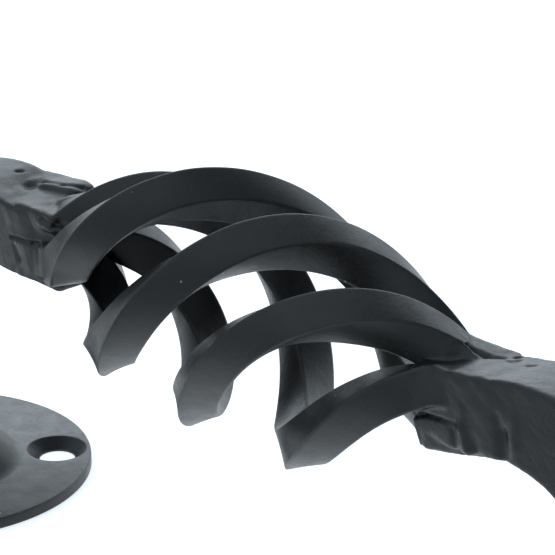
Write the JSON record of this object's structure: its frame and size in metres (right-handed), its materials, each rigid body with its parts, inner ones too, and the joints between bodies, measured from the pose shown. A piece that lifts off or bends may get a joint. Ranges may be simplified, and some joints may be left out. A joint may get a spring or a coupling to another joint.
{
  "type": "basket twist pull handle",
  "caption": "Arched forged pull handle with a basket-twist cage of square rods for a grip, standing on round domed roses with countersunk screw holes.",
  "frame": {"origin": "on the mounting face, midway between the two roses: the middle of the bottom of the bounding box", "axes": "+X along the handle from the left rose to the right rose, +Z straight out from the surface it is fixed to, -Y the front"},
  "size_m": [0.234, 0.058, 0.0742],
  "materials": {
    "cage_coat": "satin black coat over forged steel",
    "leg_coat": "satin black coat over forged steel",
    "rose_coat": "satin black coat over pressed steel",
    "rove_coat": "satin black coat over steel washer"
  },
  "bodies": {
    "root": {"cage_rod_1": "cage_coat", "cage_rod_2": "cage_coat", "cage_rod_3": "cage_coat", "cage_rod_4": "cage_coat", "leg_left": "leg_coat", "leg_right": "leg_coat", "rose_left": "rose_coat", "rose_right": "rose_coat", "rove_left": "rove_coat", "rove_right": "rove_coat"}
  },
  "joints": []
}
